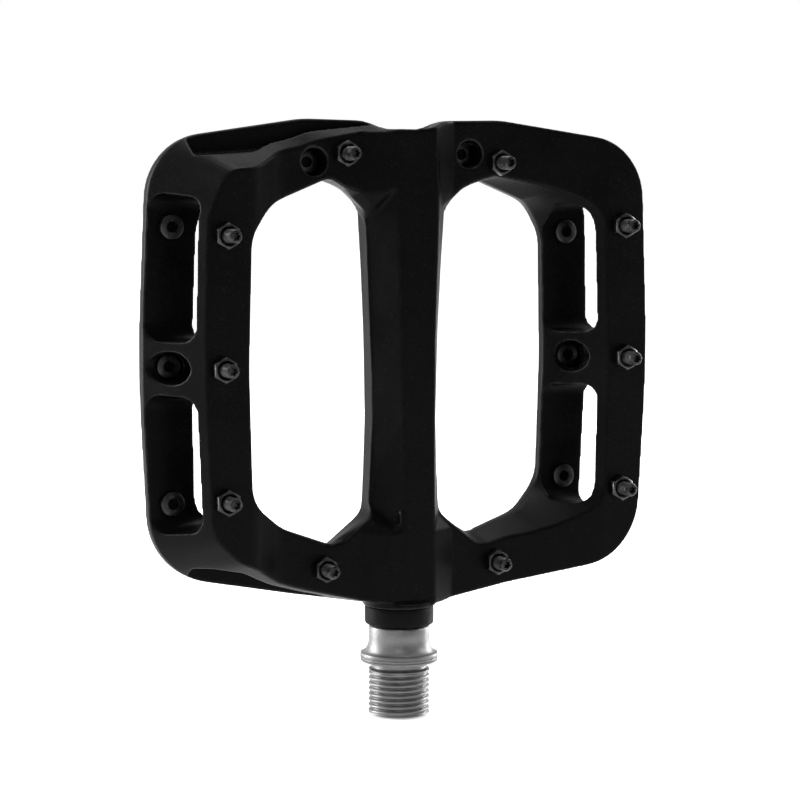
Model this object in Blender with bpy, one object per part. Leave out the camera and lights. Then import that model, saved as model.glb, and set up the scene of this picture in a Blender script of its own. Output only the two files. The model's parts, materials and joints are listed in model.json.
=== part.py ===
"""Bicycle flat pedal: a cast platform turning on a threaded steel spindle.

Frame: the spindle lies along Z and the origin is at the centre of the shoulder that meets the crank arm.
The crank thread points down (-Z), the platform stands above it, its front face looks along -Y and its
width lies along X.  The platform looks the same after half a turn about Z, so most shapes are made once
and repeated by that half turn.  Lengths below are millimetres; make_mesh turns them into metres.
"""
import math

import bmesh
import bpy
from mathutils import Matrix, Vector

MM = 0.001
WELD = 0.002                 # points nearer than this become one after each boolean
GAP = 0.3                    # running and assembly gap between neighbouring pieces
ROUND_STEPS = 24             # sides of a turned piece
PIN_STEPS = 8                # sides of a pin and of the hole in its nut

# Platform
BOTTOM_Z = 13.7              # inboard end of the platform
TOP_Z = 123.6                # outboard end of the spine
BAR_HALF = 8.65              # half thickness at the outer bars
CENTRE_HALF = 4.0            # half thickness of the plates beside the spine
PLATE = 2.55                 # thickness of one face plate over a pocket
SPINE_HALF = 7.2             # half thickness of the spine
BOSS_HALF = 7.12             # half thickness of the low hills at its ends
CREASE_FAR = (26.5, 49.5)    # where a concave face starts and ends its slope, on its long side
CREASE_NEAR = (32.0, 39.5)   # and on its short side
REACH = BAR_HALF + 1.0       # cutters run this far out of the middle plane
EDGE_POINTS = 46             # points along one half of an outline
LIP_R = 8.5                  # ring at the platform's foot, over the seal

# Outlines of one half of a face, as corners (x, z, radius, steps) from the top to the bottom of the spine.
LONG_EDGE = [(4.0, 123.8, 8, 2), (9.0, 125.5, 5, 2), (24.0, 125.8, 25, 2), (59.1, 120.3, 15, 7),
             (61.2, 70.0, 300, 2), (58.7, 22.9, 16.5, 7), (9.0, 14.3, 4, 1)]
SHORT_EDGE = [(4.0, 123.4, 8, 1), (10.0, 121.0, 5, 2), (24.0, 115.0, 12, 2), (46.0, 114.5, 5, 3),
              (50.8, 103.2, 10, 4), (51.4, 70.0, 300, 2), (49.7, 33.0, 8, 4), (43.0, 26.6, 10, 3),
              (10.0, 15.8, 6, 2)]
LONG_WINDOW = [(8.3, 106.6, 1.5, 2), (15.9, 112.8, 3.5, 3), (34.0, 114.0, 30, 2), (49.2, 105.2, 9, 5),
               (50.6, 70.0, 300, 2), (49.9, 35.6, 7, 5), (35.0, 27.2, 30, 2), (19.8, 24.4, 6, 3),
               (8.2, 35.2, 4, 2)]
SHORT_WINDOW = [(9.3, 104.4, 4, 2), (14.5, 109.4, 4, 2), (19.6, 112.4, 3, 2), (35.0, 106.2, 14, 4),
                (40.2, 99.5, 8, 3), (40.9, 70.0, 200, 2), (40.0, 39.8, 8, 4), (31.0, 33.3, 14, 3),
                (18.6, 28.8, 3, 3), (8.2, 35.2, 4, 2)]
WINDOW_SIDE = (7.1, 60.0)    # the windows' side on the spine runs through this point, inside the spine

# Spine sections: height, x of the front fold, half width of the flat front, half width of the whole
SPINE_STATIONS = [(BOTTOM_Z + 0.2, -1.2, 5.4, 7.4), (36.0, -1.8, 5.6, 8.1), (42.0, -1.9, 5.6, 7.5),
                  (58.0, -2.4, 5.5, 7.25), (76.0, -3.0, 5.5, 7.6), (92.0, -3.5, 6.0, 8.4),
                  (104.0, -4.1, 6.3, 9.2), (TOP_Z - 0.2, -5.2, 5.7, 9.2)]
# End hills: height, half width of the flat, half width of the foot, half height
TOP_BOSS = [(104.0, 5.0, 8.5, 6.8), (109.0, 5.6, 12.8, BOSS_HALF), (135.0, 5.6, 12.8, BOSS_HALF)]
BOTTOM_BOSS = [(5.0, 5.8, 12.8, BOSS_HALF), (31.0, 5.8, 12.8, BOSS_HALF), (36.0, 5.0, 8.0, 6.8)]

# The opening beside the spine's leaning facet: its outline at the face and near the middle plane
RECESS_FACE = [(3.0, 113.0, 1, 1), (9.6, 112.0, 3, 2), (15.5, 113.0, 3, 2), (21.0, 113.0, 1, 1),
               (21.0, 25.4, 1, 1), (16.8, 25.4, 3, 2), (12.0, 29.0, 3, 2), (3.0, 29.0, 1, 1)]
RECESS_FOOT = [(3.0, 102.0, 1, 1), (8.0, 102.0, 3, 2), (14.0, 108.5, 3, 2), (21.0, 109.5, 1, 1),
               (21.0, 31.0, 1, 1), (16.0, 31.5, 3, 2), (9.0, 37.5, 3, 2), (3.0, 37.5, 1, 1)]
RECESS_FOOT_Y = -0.3

# Side bars: two pockets and an oval hole through each bar, from the outer to the inner side
POCKET_HALF_Y = 6.05
POCKET_CORNER_R = (4.0, 3.0)   # at its outer and inner ends
POCKET_OUTER_X, POCKET_INNER_X = 64.0, 40.0
SEAT_Y = 6.15                # a pin head's seat is sunk a little into the pocket's wall
POCKETS = [((76.1, 109.9), (76.1, 106.4)), ((31.2, 64.3), (35.8, 63.2))]
OVAL_Z, OVAL_HALF_Z = 70.2, 3.65
OVAL_OUTER_Y, OVAL_INNER_Y = 5.6, 3.5

# Wedge pockets in the slanted ends: outlines in the face plane
TOP_WEDGE = [(8.0, 121.8), (28.0, 118.9), (44.0, 117.7), (56.0, 117.0), (56.0, 130.0), (8.0, 130.0)]
BOTTOM_WEDGE = [(20.0, 19.4), (26.0, 21.7), (46.5, 24.8), (56.0, 24.2), (56.0, 8.0), (20.0, 8.0)]
WEDGES = [(TOP_WEDGE, 50.3), (BOTTOM_WEDGE, 50.3)]
WEDGE_CREASE = (33.5, 46.0)  # the near wall of a wedge pocket starts and ends its slope here
WEDGE_END_R = 3.0

# Traction pins: (x, z) on the front face
BAR_PINS = [(54.0, 101.4), (54.9, 70.2), (54.0, 39.1), (-46.5, 99.7), (-47.2, 70.2), (-46.5, 40.7)]
TOP_PINS = [(-15.8, 117.9), (23.4, 116.0)]
BOTTOM_PINS = [(-20.8, 23.5), (23.2, 22.5)]
PIN_R = 1.65
PIN_PROUD = 5.8              # pin tip above the face
PIN_HEAD_R, PIN_HEAD_H = 2.85, 0.9
STUD_DEPTH = 2.6             # how far a bottom stud reaches into the body
NUT_FLATS, NUT_H = 5.2, 2.0
ACCESS_R = 3.15              # hole through which a top pin is fitted

# Bearing seats and the pieces in them, from the crank outwards
BORE_MID_R = 4.05
SPINDLE_INNER_R, SPINDLE_MID_R, SPINDLE_END_R = 5.0, 3.55, 2.5
SEAT_R = 6.35                # bushing and needle cup seat
BEARING_SEAT_R = 6.5
SEAL_Z = (9.4, 13.0)
BUSH_Z = (14.3, 21.4)
NEEDLE_Z = (22.2, 30.2)
SEAT_TOP_Z = 30.5
BEARING_SEAT_Z = 109.7
BEARING_HALF = 2.0
BEARING_Z = (112.0, 116.3)   # centres of the two ball bearings
BALL_R, BALL_RING_R, BALLS = 0.8, 4.4, 9
NEEDLE_R, NEEDLE_RING_R, NEEDLES = 0.55, 4.4, 12


# ---------------------------------------------------------------- helpers

def fillet(before, corner, after, radius, steps):
    """Points of the arc that rounds one corner of an outline."""
    c = Vector(corner)
    to_a = (Vector(before) - c).normalized()
    to_b = (Vector(after) - c).normalized()
    half = to_a.angle(to_b) / 2
    reach = radius / math.tan(half)
    room = 0.49 * min((Vector(before) - c).length, (Vector(after) - c).length)
    if reach > room:
        reach, radius = room, room * math.tan(half)
    centre = c + (to_a + to_b).normalized() * (radius / math.sin(half))
    start = c + to_a * reach - centre
    end = c + to_b * reach - centre
    sweep = start.angle_signed(end)
    return [centre + Matrix.Rotation(-sweep * i / steps, 2) @ start for i in range(steps + 1)]


def rounded_path(corners, first, last):
    """An open path from first to last whose corners are (x, z, radius, steps)."""
    spots = [first] + [(c[0], c[1]) for c in corners] + [last]
    path = [Vector(first)]
    for i, (x, z, radius, steps) in enumerate(corners):
        path += fillet(spots[i], (x, z), spots[i + 2], radius, steps)
    path.append(Vector(last))
    return path


def rounded_loop(corners):
    """A closed outline whose corners are (x, z, radius, steps)."""
    loop = []
    for i, (x, z, radius, steps) in enumerate(corners):
        before, after = corners[i - 1][:2], corners[(i + 1) % len(corners)][:2]
        loop += fillet(before, (x, z), after, radius, steps) if radius else [Vector((x, z))]
    return loop


def make_mesh(name, points, faces):
    mesh = bpy.data.meshes.new(name)
    bm = bmesh.new()
    verts = [bm.verts.new(Vector(p) * MM) for p in points]
    for face in faces:
        bm.faces.new([verts[i] for i in face])
    bmesh.ops.triangulate(bm, faces=[f for f in bm.faces if len(f.verts) > 4])
    bmesh.ops.recalc_face_normals(bm, faces=bm.faces)
    bm.to_mesh(mesh)
    bm.free()
    obj = bpy.data.objects.new(name, mesh)
    bpy.context.collection.objects.link(obj)
    return obj


def loft(name, rings):
    """A closed solid through rings of equally many points, capped at both ends."""
    count = len(rings[0])
    points = [p for ring in rings for p in ring]
    faces = [list(range(count)), list(range(len(points) - count, len(points)))]
    for r in range(len(rings) - 1):
        low, high = r * count, (r + 1) * count
        for i in range(count):
            j = (i + 1) % count
            faces.append([low + i, low + j, high + j])
            faces.append([low + i, high + j, high + i])
    return make_mesh(name, points, faces)


def prism_y(name, outline, front, back):
    """An (x, z) outline carried from y = front to y = back."""
    return loft(name, [[(p[0], y, p[1]) for p in outline] for y in (front, back)])


def prism_z(name, outline, low, high):
    """An (x, y) outline carried from z = low to z = high."""
    return loft(name, [[(p[0], p[1], z) for p in outline] for z in (low, high)])


def turned(name, profile, steps=ROUND_STEPS, centre=(0.0, 0.0)):
    """A solid of revolution about Z: a profile that starts and ends on the axis is solid, others are rings."""
    solid = profile[0][0] == 0
    inner = profile[1:-1] if solid else profile
    points = []
    for i in range(steps):
        a = 2 * math.pi * (i + 0.5) / steps
        points += [(centre[0] + r * math.cos(a), centre[1] + r * math.sin(a), z) for r, z in inner]
    n = len(inner)
    faces = []
    for i in range(steps):
        a, b = i * n, ((i + 1) % steps) * n
        for k in range(n - 1 if solid else n):
            m = (k + 1) % n
            faces.append([a + k, a + m, b + m, b + k])
    if solid:
        points += [(centre[0], centre[1], profile[0][1]), (centre[0], centre[1], profile[-1][1])]
        low, high = len(points) - 2, len(points) - 1
        for i in range(steps):
            a, b = i * n, ((i + 1) % steps) * n
            faces.append([low, a, b])
            faces.append([high, b + n - 1, a + n - 1])
    return make_mesh(name, points, faces)


def ring(name, inner_r, outer_r, low, high, steps=ROUND_STEPS):
    return turned(name, [(inner_r, low), (outer_r, low), (outer_r, high), (inner_r, high)], steps)


def rod(name, radius, low, high, steps=ROUND_STEPS, centre=(0.0, 0.0)):
    return turned(name, [(0, low), (radius, low), (radius, high), (0, high)], steps, centre)


def hexagon(flats, turn=0.0):
    corner = flats / 2 / math.cos(math.pi / 6)
    return [(corner * math.cos(turn + k * math.pi / 3), corner * math.sin(turn + k * math.pi / 3))
            for k in range(6)]


def combine(obj, other, operation, keep=False):
    """Boolean other into obj with the exact solver."""
    step = obj.modifiers.new("step", "BOOLEAN")
    step.operation = operation
    step.solver = "EXACT"
    step.object = other
    bpy.context.view_layer.update()
    graph = bpy.context.evaluated_depsgraph_get()
    result = bpy.data.meshes.new_from_object(obj.evaluated_get(graph))
    obj.modifiers.clear()
    old = obj.data
    obj.data = result
    result.name = obj.name
    bpy.data.meshes.remove(old)
    bm = bmesh.new()
    bm.from_mesh(result)
    bmesh.ops.remove_doubles(bm, verts=bm.verts, dist=WELD * MM)
    bmesh.ops.dissolve_degenerate(bm, edges=bm.edges, dist=WELD * MM)
    bm.to_mesh(result)
    bm.free()
    if not keep:
        remove(other)
    return obj


def remove(obj):
    mesh = obj.data
    bpy.data.objects.remove(obj)
    bpy.data.meshes.remove(mesh)


def half_turn(obj):
    obj.data.transform(Matrix.Rotation(math.pi, 4, "Z"))


def both_sides(obj, other, operation):
    """Combine other with obj as it stands and again after half a turn about Z."""
    combine(obj, other, operation, keep=True)
    half_turn(other)
    return combine(obj, other, operation)


def material(name, colour, metallic, roughness):
    mat = bpy.data.materials.new(name)
    mat.use_nodes = True
    shader = mat.node_tree.nodes["Principled BSDF"]
    shader.inputs["Base Color"].default_value = (*colour, 1.0)
    shader.inputs["Metallic"].default_value = metallic
    shader.inputs["Roughness"].default_value = roughness
    return mat


def finish(obj, look, parent):
    """Name the mesh, give the piece its own material and hang it on its body's empty."""
    colour, metallic, roughness = look
    obj.data.name = obj.name
    obj.data.materials.clear()
    obj.data.materials.append(material(obj.name, colour, metallic, roughness))
    obj.data.shade_smooth()
    obj.data.set_sharp_from_angle(angle=math.radians(35))
    obj.parent = parent
    return obj


# ---------------------------------------------------------------- platform

def half_thickness(x, crease):
    """How far a face lies from the middle plane at x."""
    slope = min(1.0, max(0.0, (abs(x) - crease[0]) / (crease[1] - crease[0])))
    return CENTRE_HALF + (BAR_HALF - CENTRE_HALF) * slope


def matched(first, second):
    """Two paths as equally many points each, matched by their share of the length."""
    paths = []
    for path in (first, second):
        lengths = [0.0]
        for a, b in zip(path, path[1:]):
            lengths.append(lengths[-1] + (b - a).length)
        spots, k = [], 0
        for i in range(EDGE_POINTS + 1):
            share = lengths[-1] * i / EDGE_POINTS
            while k < len(path) - 2 and lengths[k + 1] < share:
                k += 1
            step = lengths[k + 1] - lengths[k]
            spots.append(path[k].lerp(path[k + 1], min(1.0, (share - lengths[k]) / step)))
        paths.append(spots)
    return paths


def ruled_edge(upright, sloped, crease):
    """Rings of an edge that stands straight on the plate at +Y, then slopes to another outline at the -Y face.

    upright is the outline on the straight part, sloped the one where the slope meets the -Y bar face.
    """
    foot = [(p.x, half_thickness(p.x, crease) - PLATE, p.y) for p in upright]
    start = []
    for (x, y, z), end in zip(foot, sloped):
        run = (REACH - BAR_HALF) / (BAR_HALF + y)
        start.append((end.x + (end.x - x) * run, -REACH, end.y + (end.y - z) * run))
    return [start, foot, [(x, REACH, z) for x, _, z in foot]]


def outer_edge():
    """The platform's edge; on the left the back plate reaches furthest, on the right the front plate."""
    ends = (0.0, TOP_Z), (0.0, BOTTOM_Z)
    long_path, short_path = matched(rounded_path(LONG_EDGE, *ends), rounded_path(SHORT_EDGE, *ends))
    start, foot, end = ruled_edge(long_path, short_path, CREASE_FAR)
    middle = [tuple((a + b) / 2 for a, b in zip(p, q)) for p, q in zip(start, foot)]
    half = [start, middle, foot, end]
    left = [[(-x, y, z) for x, y, z in ring] for ring in half]
    right = [[(x, -y, z) for x, y, z in ring] for ring in reversed(half)]
    return loft("outer_edge", [a + b[-2:0:-1] for a, b in zip(left, right)])


def concave_section(offset=0.0, near=CREASE_NEAR, reach=66.0, end_r=0.0):
    """The platform's thickness seen along Z, each face dished between its creases."""
    bar, centre = BAR_HALF - offset, CENTRE_HALF - offset
    front = [(-reach, bar, end_r, 3), (-near[1], bar, 8, 2), (-near[0], centre, 8, 2),
             (CREASE_FAR[0], centre, 14, 2), (CREASE_FAR[1], bar, 12, 2), (reach, bar, end_r, 3)]
    back = [(-x, -t, r, s) for x, t, r, s in front]
    return [(p.x, -p.y) for p in rounded_loop(front + back)]


def window():
    """The right window: its edge stands straight on the back plate and slopes out to the front face."""
    long_path, short_path = matched(rounded_path(LONG_WINDOW, WINDOW_SIDE, WINDOW_SIDE)[:-1],
                                    rounded_path(SHORT_WINDOW, WINDOW_SIDE, WINDOW_SIDE)[:-1])
    return loft("window", ruled_edge(short_path, long_path, CREASE_NEAR))


def recess():
    """Clears the plate in front of the spine's leaning facet, on the front left."""
    rings = [[(-p.x, y, p.y) for p in rounded_loop(corners)]
             for corners, y in ((RECESS_FACE, -REACH), (RECESS_FOOT, RECESS_FOOT_Y))]
    return loft("recess", rings)


def spine():
    """Eight-sided bar: a fold, a flat front, a bevel, a wall, and the same again after half a turn."""
    rings = []
    for z, fold, flat, half in SPINE_STATIONS:
        front = [(fold, SPINE_HALF), (flat, SPINE_HALF), (half, CENTRE_HALF), (half, 0.0)]
        rings.append([(s * x, -s * t, z) for s in (1, -1) for x, t in front])
    return loft("spine", rings)


def end_boss(name, stations):
    """A low hill round the bore at one end of the spine."""
    foot_y = CENTRE_HALF - 0.6
    rings = []
    for z, flat, foot, half in stations:
        quarter = [(flat, half), (foot, foot_y)]
        front = [(-x, t) for x, t in quarter[::-1]] + quarter
        rings.append([(s * x, -s * t, z) for s in (1, -1) for x, t in front])
    return loft(name, rings)


def side_pocket(outer, inner):
    """A slot through the left bar, as a loft between its outer and inner openings."""
    rings = []
    for x, (low, high), radius in zip((-POCKET_OUTER_X, -POCKET_INNER_X), (outer, inner),
                                      POCKET_CORNER_R):
        corners = [(y, z, radius, 3) for y, z in ((-POCKET_HALF_Y, low), (POCKET_HALF_Y, low),
                                                  (POCKET_HALF_Y, high), (-POCKET_HALF_Y, high))]
        rings.append([(x, p.x, p.y) for p in rounded_loop(corners)])
    return loft("pocket", rings)


def side_oval():
    """An oval hole through the left bar, a little flatter at its inner end."""
    steps = 16
    rings = []
    for x, half_y in ((-POCKET_OUTER_X, OVAL_OUTER_Y), (-POCKET_INNER_X, OVAL_INNER_Y)):
        turns = [2 * math.pi * i / steps for i in range(steps)]
        rings.append([(x, half_y * math.cos(a), OVAL_Z + OVAL_HALF_Z * math.sin(a)) for a in turns])
    return loft("oval", rings)


def wedge_pocket(outline, end_x):
    """A blind pocket between the face plates, open through the slanted end on the left."""
    block = prism_y("wedge", [(-x, z) for x, z in outline], -BAR_HALF, BAR_HALF)
    section = concave_section(PLATE, WEDGE_CREASE, end_x, WEDGE_END_R)
    return combine(block, prism_z("wedge_section", section, 0.0, 140.0), "INTERSECT")


def along_y(obj, x, z):
    """Turn a piece built along Z so that its +Z points out of the front face at (x, z)."""
    turn = Matrix.Rotation(math.pi / 2, 4, "X")
    obj.data.transform(Matrix.Translation(Vector((x, 0, z)) * MM) @ turn)
    return obj


def bore():
    """The stepped hole through the spine, as a solid."""
    return turned("bore", [(0, BOTTOM_Z - 5), (SEAT_R, BOTTOM_Z - 5), (SEAT_R, SEAT_TOP_Z),
                           (BORE_MID_R, SEAT_TOP_Z), (BORE_MID_R, BEARING_SEAT_Z),
                           (BEARING_SEAT_R, BEARING_SEAT_Z), (BEARING_SEAT_R, TOP_Z + 5), (0, TOP_Z + 5)])


def pedal_body():
    body = prism_z("pedal_body", concave_section(), 0.0, 140.0)
    combine(body, end_boss("top_boss", TOP_BOSS), "UNION")
    combine(body, end_boss("bottom_boss", BOTTOM_BOSS), "UNION")
    combine(body, outer_edge(), "INTERSECT")
    both_sides(body, window(), "DIFFERENCE")
    both_sides(body, recess(), "DIFFERENCE")
    combine(body, spine(), "UNION")
    combine(body, rod("lip", LIP_R, BOTTOM_Z - 0.4, BOTTOM_Z + 0.9), "UNION")
    for outer, inner in POCKETS:
        both_sides(body, side_pocket(outer, inner), "DIFFERENCE")
    both_sides(body, side_oval(), "DIFFERENCE")
    for outline, end_x in WEDGES:
        both_sides(body, wedge_pocket(outline, end_x), "DIFFERENCE")
    combine(body, bore(), "DIFFERENCE")
    for x, z in BAR_PINS:
        both_sides(body, along_y(rod("hole", PIN_R + GAP, 3.0, 12.0, PIN_STEPS), x, z), "DIFFERENCE")
        both_sides(body, along_y(rod("seat", PIN_HEAD_R + GAP, 2.0, SEAT_Y, 12), x, z), "DIFFERENCE")
    for x, z in TOP_PINS:
        floor = CENTRE_HALF - PLATE
        both_sides(body, along_y(rod("hole", PIN_R + GAP, floor - 1, 9.0, PIN_STEPS), x, z), "DIFFERENCE")
        both_sides(body, along_y(rod("access", ACCESS_R, -9.0, floor, 16), x, z), "DIFFERENCE")
    for x, z in BOTTOM_PINS:
        floor = CENTRE_HALF - STUD_DEPTH - GAP
        both_sides(body, along_y(rod("hole", PIN_R + GAP, floor, 9.0, PIN_STEPS), x, z), "DIFFERENCE")
    return body


# ---------------------------------------------------------------- pins and nuts

def pin(face_y, foot_y, head):
    """One pin along +Z from foot_y to its tip, with a round head below foot_y where it has one."""
    tip = face_y + PIN_PROUD
    profile = [(0, foot_y), (PIN_R, foot_y), (PIN_R, tip - 0.4), (PIN_R - 0.4, tip), (0, tip)]
    if head:
        under = foot_y + PIN_HEAD_H
        profile = [(0, foot_y), (PIN_HEAD_R, foot_y), (PIN_HEAD_R, under), (PIN_R, under)] + profile[2:]
    return turned("pin", profile, PIN_STEPS)


def nut(face_y):
    outline = hexagon(NUT_FLATS, math.pi / 2)
    piece = prism_z("nut", outline, face_y + 0.1, face_y + NUT_H)
    return combine(piece, rod("nut_hole", PIN_R + GAP, 0, 20, PIN_STEPS), "DIFFERENCE")


def pins_and_nuts():
    """A pin and a nut at each place on the front face, then the same after half a turn for the back."""
    centre_under = CENTRE_HALF - PLATE - GAP - PIN_HEAD_H
    bar_under = POCKET_HALF_Y - GAP - PIN_HEAD_H
    kinds = [("bar", BAR_PINS, BAR_HALF, bar_under, True),
             ("top", TOP_PINS, CENTRE_HALF, centre_under, True),
             ("bottom", BOTTOM_PINS, CENTRE_HALF, CENTRE_HALF - STUD_DEPTH, False)]
    pieces = []
    for kind, places, face_y, foot_y, head in kinds:
        for number, (x, z) in enumerate(places, 1):
            for side in ("front", "back"):
                for label, piece in (("pin", pin(face_y, foot_y, head)), ("nut", nut(face_y))):
                    along_y(piece, x, z)
                    if side == "back":
                        half_turn(piece)
                    piece.name = f"{side}_{kind}_{label}_{number}"
                    pieces.append(piece)
    return pieces


# ---------------------------------------------------------------- spindle and bearings

def spindle():
    """Crank thread, relief, flange, neck, then the shaft stepping down to the outboard bearings."""
    shaft_step_z, neck_top = BUSH_Z[1] + 0.5, SEAL_Z[0] - GAP
    profile = [(0, -12.5), (6.3, -12.5), (7.14, -11.6), (7.14, -2.0), (6.3, -1.6), (6.3, 0.3), (7.2, 0.3),
               (7.35, 0.0), (8.7, 0.0),
               (9.1, 0.5), (9.1, 2.3), (8.2, 3.1), (7.1, 4.4), (7.1, neck_top), (SPINDLE_INNER_R, neck_top),
               (SPINDLE_INNER_R, shaft_step_z), (SPINDLE_MID_R, shaft_step_z + 0.5),
               (SPINDLE_MID_R, BEARING_SEAT_Z - 1.3), (3.3, BEARING_SEAT_Z), (SPINDLE_END_R, BEARING_SEAT_Z),
               (SPINDLE_END_R, 121.0), (SPINDLE_END_R - 0.4, 121.4), (0, 121.4)]
    shaft = turned("spindle", profile)
    return combine(shaft, prism_z("hex_socket", hexagon(8.0), -13.5, -3.5), "DIFFERENCE")


def dust_seal():
    low, high = SEAL_Z
    inner = SPINDLE_INNER_R + GAP
    return turned("dust_seal", [(inner, low), (7.4, low), (8.05, low + 0.5), (8.05, high), (inner, high)])


def inboard_bushing():
    return ring("inboard_bushing", SPINDLE_INNER_R + GAP, SEAT_R - GAP, *BUSH_Z)


def needle_bearing():
    """The drawn cup, and the rollers with their cage, which turn as one set."""
    low, high = NEEDLE_Z
    cup_in, cup_out = NEEDLE_RING_R + NEEDLE_R + 0.25, SEAT_R - 0.25
    lip_in = SPINDLE_MID_R + GAP + 0.5
    cup = turned("needle_cup", [(lip_in, low), (cup_out, low), (cup_out, high), (lip_in, high),
                                (lip_in, high - 0.5), (cup_in, high - 0.5), (cup_in, low + 0.5),
                                (lip_in, low + 0.5)])
    roller_low, roller_high = low + 1.5, high - 1.5
    needles = ring("needle_set", NEEDLE_RING_R - 0.3, NEEDLE_RING_R + 0.3, low + 0.8, high - 0.8)
    for i in range(NEEDLES):
        a = 2 * math.pi * i / NEEDLES
        place = polar(NEEDLE_RING_R, a)
        combine(needles, rod("roller", NEEDLE_R, roller_low, roller_high, 6, place), "UNION")
    return cup, needles


def polar(radius, angle, z=0.0):
    return Vector((radius * math.cos(angle), radius * math.sin(angle), z))


def ball_bearing(name, z, shield_side):
    """One cartridge bearing centred at height z: races, a shield on its open side, and the caged balls."""
    w, groove, arc_steps = BEARING_HALF, BALL_R + 0.25, 3
    outer_r, inner_r = BEARING_SEAT_R - 0.25, SPINDLE_END_R + 0.25
    outer_shoulder, inner_shoulder = 5.0, 3.8

    def groove_arc(shoulder, sign):
        """Points of the ball groove from its lower to its upper edge, bulging towards sign."""
        half = math.acos(abs(shoulder - BALL_RING_R) / groove)
        return [(BALL_RING_R + sign * groove * math.cos(a), z + groove * math.sin(a))
                for a in (-half + 2 * half * i / arc_steps for i in range(arc_steps + 1))]

    step_r = outer_shoulder + 0.5
    outer = turned(f"{name}_outer_race", [(step_r, z - w), (outer_r, z - w), (outer_r, z + w),
                   (step_r, z + w), (step_r, z + w - 0.5), (outer_shoulder, z + w - 0.5)]
                   + groove_arc(outer_shoulder, 1)[::-1]
                   + [(outer_shoulder, z - w + 0.5), (step_r, z - w + 0.5)])
    inner = turned(f"{name}_inner_race", [(inner_r, z - w), (inner_shoulder, z - w)]
                   + groove_arc(inner_shoulder, -1) + [(inner_shoulder, z + w), (inner_r, z + w)])
    shield_z = z + shield_side * (w - 0.23)
    shield = ring(f"{name}_shield", inner_shoulder + 0.2, step_r - 0.2, shield_z - 0.15, shield_z + 0.15)
    balls = ring(f"{name}_ball_set", BALL_RING_R - 0.25, BALL_RING_R + 0.25, z - 1.1, z + 1.1, 2 * BALLS)
    for i in range(BALLS):
        a = 2 * math.pi * i / BALLS
        arc = [(BALL_R * math.cos(t), BALL_R * math.sin(t)) for t in (-math.pi / 3, 0.0, math.pi / 3)]
        ball = turned("ball", [(0, -BALL_R)] + arc + [(0, BALL_R)], 6)
        ball.data.transform(Matrix.Translation(polar(BALL_RING_R, a, z) * MM))
        combine(balls, ball, "UNION")
    return [outer, shield], [inner], [balls]


def outboard_hardware():
    """Washer and lock nut on the spindle, then retaining ring, O-ring and cap in the body."""
    washer_z = BEARING_Z[1] + BEARING_HALF + 0.2
    washer = ring("thrust_washer", SPINDLE_END_R + 0.25, 4.3, washer_z, washer_z + 0.5)
    nut_low = washer_z + 0.7
    lock_nut = prism_z("lock_nut", hexagon(7.0), nut_low, 121.2)
    combine(lock_nut, rod("lock_nut_hole", SPINDLE_END_R + 0.25, 100, 130), "DIFFERENCE")
    seat = BEARING_SEAT_R
    circlip = ring("bearing_retaining_ring", 5.3, seat - 0.2, washer_z, washer_z + 0.7)
    cap = turned("end_cap", [(0, 121.7), (4.6, 121.7), (4.6, 119.9), (5.2, 119.9), (5.2, 121.5),
                             (seat - 0.2, 121.5), (seat - 0.2, 123.1), (seat - 0.6, 123.5), (0, 123.5)])
    combine(cap, prism_z("cap_socket", hexagon(5.0), 122.4, 125), "DIFFERENCE")
    tube_r, steps = 0.35, 6
    turns = [2 * math.pi * i / steps for i in range(steps)]
    profile = [(5.82 + tube_r * math.cos(a), 120.7 + tube_r * math.sin(a)) for a in turns]
    o_ring = turned("end_cap_o_ring", profile)
    return [washer, lock_nut], [circlip, cap, o_ring]


# ---------------------------------------------------------------- the model

BLACK_METAL = ((0.022, 0.021, 0.024), 0.6, 0.42)
PIN_STEEL = ((0.16, 0.155, 0.15), 1.0, 0.35)
TURNED_STEEL = ((0.62, 0.62, 0.61), 1.0, 0.3)
BEARING_STEEL = ((0.5, 0.5, 0.52), 1.0, 0.2)
BLACK_RUBBER = ((0.018, 0.018, 0.018), 0.0, 0.7)
POLYMER = ((0.05, 0.05, 0.045), 0.0, 0.55)


def empty(name):
    """A body's empty, on the spindle axis about which it turns."""
    holder = bpy.data.objects.new(name, None)
    bpy.context.collection.objects.link(holder)
    return holder


def build():
    for obj in list(bpy.data.objects):
        bpy.data.objects.remove(obj)
    fixed, platform = empty("spindle_body"), empty("platform_body")
    rolling = {name: empty(f"{name}_body") for name in ("needle", "inner_balls", "outer_balls")}

    finish(spindle(), TURNED_STEEL, fixed)
    finish(pedal_body(), BLACK_METAL, platform)
    for piece in pins_and_nuts():
        finish(piece, PIN_STEEL, platform)
    finish(dust_seal(), BLACK_RUBBER, platform)
    finish(inboard_bushing(), POLYMER, platform)

    cup, needles = needle_bearing()
    finish(cup, BEARING_STEEL, platform)
    finish(needles, BEARING_STEEL, rolling["needle"])
    for label, z, shield_side in zip(("inner", "outer"), BEARING_Z, (-1, 1)):
        on_body, on_spindle, between = ball_bearing(f"{label}_bearing", z, shield_side)
        balls = rolling[f"{label}_balls"]
        for pieces, parent in ((on_body, platform), (on_spindle, fixed), (between, balls)):
            for piece in pieces:
                finish(piece, BEARING_STEEL, parent)
    on_spindle, on_body = outboard_hardware()
    for piece in on_spindle:
        finish(piece, BEARING_STEEL, fixed)
    for piece in on_body:
        finish(piece, BLACK_RUBBER if piece.name.endswith("o_ring") else BLACK_METAL, platform)


build()
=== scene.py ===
"""Looks of the bicycle flat pedal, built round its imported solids.

The platform is rebuilt from the same driving sizes as the solids, with finer curves.  It is then remeshed
so that every edge is slightly rounded, like a cast and milled part.  Spindle, pins, nuts, seal and cap are
turned in code, with real threads and sockets.  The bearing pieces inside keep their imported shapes.

The spindle lies along Z and the front face looks along -Y.  The platform looks the same after half a turn
about Z, so most shapes are made once and repeated by that half turn.  Shapes are in millimetres, and
make_mesh turns them into metres.  The stage and the materials are in metres.
"""

import json
import math

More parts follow.
